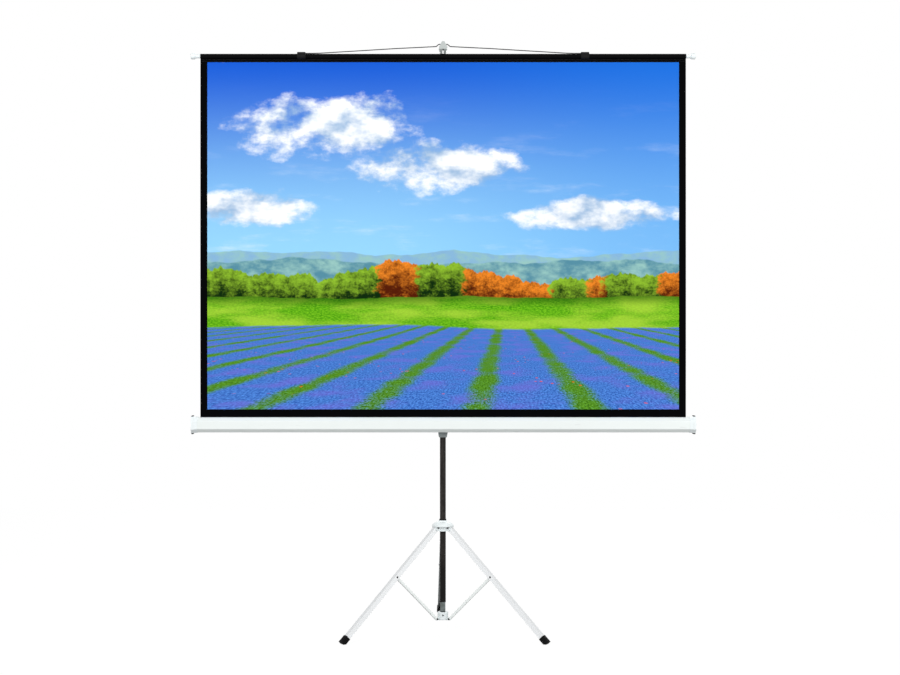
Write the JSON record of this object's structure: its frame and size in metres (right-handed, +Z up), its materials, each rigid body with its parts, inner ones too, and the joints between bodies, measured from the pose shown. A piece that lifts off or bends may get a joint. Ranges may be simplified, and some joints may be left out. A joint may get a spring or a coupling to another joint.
{
  "type": "projection screen with stand",
  "caption": "Portable projection screen on a folding tripod: roller case on a square pole, matte fabric with black border pulled up and hung by a wire bail on the pole's hook.",
  "frame": {"origin": "On the floor below the middle of the part's box, behind the pole", "axes": "+Z up, the picture faces -Y, +X to the right of somebody who looks at the picture"},
  "size_m": [2.174, 0.7672, 2.5559],
  "materials": {
    "pole_black": "satin black paint",
    "zinc": "zinc plated",
    "rivet_dark": "blackened",
    "leg_white": "white paint",
    "moulded_white": "moulded",
    "moulded_grey": "moulded",
    "moulded_black": "moulded",
    "rubber_black": "moulded",
    "wire_dark": "dark wire",
    "bar_alloy": "drawn",
    "roller_plastic": "moulded",
    "screen_cloth": "matte white with black border",
    "border_cloth": "matte black"
  },
  "bodies": {
    "stand": {"outer_tube": "pole_black", "base_spigot": "zinc", "lower_hub": "moulded_white", "brace_pins": "rivet_dark", "lock_collar": "moulded_black"},
    "rear_brace": {"brace_rear": "leg_white"},
    "rear_leg": {"leg_rear": "leg_white", "foot_rear": "rubber_black", "leg_rivet_rear": "rivet_dark"},
    "leg_hub": {"upper_hub": "moulded_white", "hub_bush": "moulded_black", "leg_pins": "rivet_dark"},
    "left_leg": {"leg_left": "leg_white", "foot_left": "rubber_black", "leg_rivet_left": "rivet_dark"},
    "right_leg": {"leg_right": "leg_white", "foot_right": "rubber_black", "leg_rivet_right": "rivet_dark"},
    "left_brace": {"brace_left": "leg_white"},
    "right_brace": {"brace_right": "leg_white"},
    "case": {"carriage": "moulded_grey", "pivot_plate": "moulded_grey", "pivot_bolt": "zinc", "pivot_nut": "zinc", "case_shell": "leg_white", "cap_left": "moulded_white", "cap_right": "moulded_white", "cap_pads_left": "rubber_black", "cap_pads_right": "rubber_black", "screen_fabric": "screen_cloth"},
    "roller": {"roller_tube": "bar_alloy", "roller_plug_left": "roller_plastic", "roller_plug_right": "roller_plastic", "wound_fabric": "screen_cloth"},
    "case_clamp": {"carriage_knob": "moulded_black", "carriage_stud": "zinc"},
    "extension": {"inner_tube": "pole_black", "guide_plug": "moulded_black", "hook": "moulded_grey", "bail": "wire_dark", "bail_clip_left": "moulded_black", "bail_clip_right": "moulded_black", "top_bar": "bar_alloy", "bar_end_left": "moulded_white", "bar_end_right": "moulded_white", "fabric_hem": "border_cloth"},
    "pole_clamp": {"lock_knob": "moulded_black", "lock_stud": "zinc"}
  },
  "joints": [
    {"name": "leg_fold", "type": "hinge", "parent": "stand", "child": "rear_brace", "pos_m": [0, -0.08913, 0.062], "axis": [1, 0, 0], "range_deg": [0, 45.5]},
    {"name": "rear_leg_fold", "type": "hinge", "parent": "rear_brace", "child": "rear_leg", "pos_m": [0, 0.11201, 0.25966], "axis": [1, 0, 0], "range_deg": [-91, 0]},
    {"name": "hub_level", "type": "hinge", "parent": "rear_leg", "child": "leg_hub", "pos_m": [0, -0.08913, 0.45731], "axis": [1, 0, 0], "range_deg": [0, 45.5]},
    {"name": "left_leg_fold", "type": "hinge", "parent": "leg_hub", "child": "left_leg", "pos_m": [-0.02771, -0.13713, 0.45731], "axis": [-0.5, 0.866, 0], "range_deg": [-45.5, 0]},
    {"name": "left_brace_fold", "type": "hinge", "parent": "stand", "child": "left_brace", "pos_m": [-0.02771, -0.13713, 0.062], "axis": [-0.5, 0.866, 0], "range_deg": [0, 45.5]},
    {"name": "right_leg_fold", "type": "hinge", "parent": "leg_hub", "child": "right_leg", "pos_m": [0.02771, -0.13713, 0.45731], "axis": [-0.5, -0.866, 0], "range_deg": [-45.5, 0]},
    {"name": "right_brace_fold", "type": "hinge", "parent": "stand", "child": "right_brace", "pos_m": [0.02771, -0.13713, 0.062], "axis": [-0.5, -0.866, 0], "range_deg": [0, 45.5]},
    {"name": "case_height", "type": "slide", "parent": "stand", "child": "case", "axis": [0, 0, 1], "range_m": [-0.15, 0.05]},
    {"name": "screen_raise", "type": "slide", "parent": "case", "child": "extension", "axis": [0, 0, 1], "range_m": [-0.9, 0], "deforming": ["screen_fabric"]},
    {"name": "roller_turn", "type": "hinge", "parent": "case", "child": "roller", "pos_m": [0, -0.18533, 0.905], "axis": [1, 0, 0], "continuous": true},
    {"name": "case_clamp_turn", "type": "hinge", "parent": "case", "child": "case_clamp", "pos_m": [0, -0.09513, 0.905], "axis": [0, 1, 0], "range_deg": [0, 360]},
    {"name": "pole_clamp_turn", "type": "hinge", "parent": "stand", "child": "pole_clamp", "pos_m": [0, -0.09513, 1.409], "axis": [0, 1, 0], "range_deg": [0, 360]}
  ],
  "couplings": [
    {"joint": "rear_leg_fold", "follows": "leg_fold", "ratio": -2},
    {"joint": "hub_level", "follows": "leg_fold", "ratio": 1},
    {"joint": "left_leg_fold", "follows": "leg_fold", "ratio": -1},
    {"joint": "left_brace_fold", "follows": "leg_fold", "ratio": 1},
    {"joint": "right_leg_fold", "follows": "leg_fold", "ratio": -1},
    {"joint": "right_brace_fold", "follows": "leg_fold", "ratio": 1},
    {"joint": "roller_turn", "follows": "screen_raise", "rad_per_m": 48.544}
  ]
}
